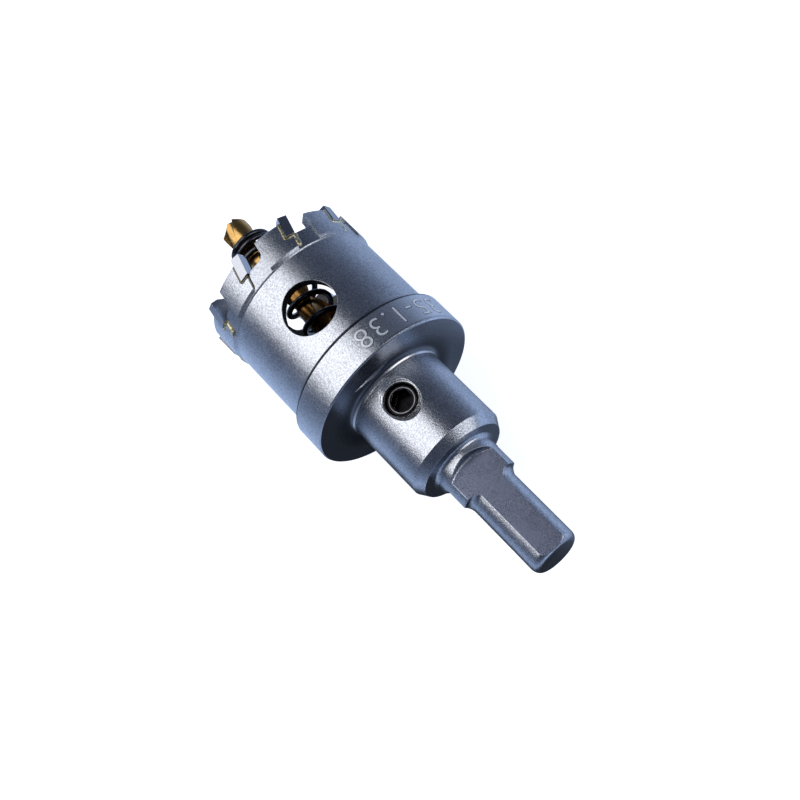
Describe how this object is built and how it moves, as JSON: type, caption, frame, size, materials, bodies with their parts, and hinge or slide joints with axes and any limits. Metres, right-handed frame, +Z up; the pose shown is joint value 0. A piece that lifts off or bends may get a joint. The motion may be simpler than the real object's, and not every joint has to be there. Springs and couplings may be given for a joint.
{
  "type": "hole saw",
  "caption": "Carbide-tipped cup-shaped cutter with a flange, a pilot drill held by a set screw, an ejector spring and a short shank with three flats.",
  "frame": {"origin": "on the table below the middle of the tool as it lies on its flange", "axes": "+X along the tool's axis towards the shank, +Z up through the set screw and the slug window"},
  "size_m": [0.0984, 0.0362, 0.0362],
  "materials": {
    "nickel_steel": "bead-blasted nickel-plated steel with a satin sheen",
    "coated_drill_steel": "gold titanium-nitride coated ground high-speed steel",
    "black_spring_steel": "oiled black spring wire",
    "black_screw_steel": "black-oxide alloy steel",
    "carbide": "ground tungsten carbide",
    "braze": "pale gold silver solder"
  },
  "bodies": {
    "root": {"braze_1": "braze", "braze_2": "braze", "braze_3": "braze", "braze_4": "braze", "braze_5": "braze", "braze_6": "braze", "braze_7": "braze", "braze_8": "braze", "braze_9": "braze", "carbide_tip_1": "carbide", "carbide_tip_2": "carbide", "carbide_tip_3": "carbide", "carbide_tip_4": "carbide", "carbide_tip_5": "carbide", "carbide_tip_6": "carbide", "carbide_tip_7": "carbide", "carbide_tip_8": "carbide", "carbide_tip_9": "carbide", "cutter_body": "nickel_steel", "ejector_spring": "black_spring_steel", "pilot_drill": "coated_drill_steel", "set_screw": "black_screw_steel"}
  },
  "joints": []
}
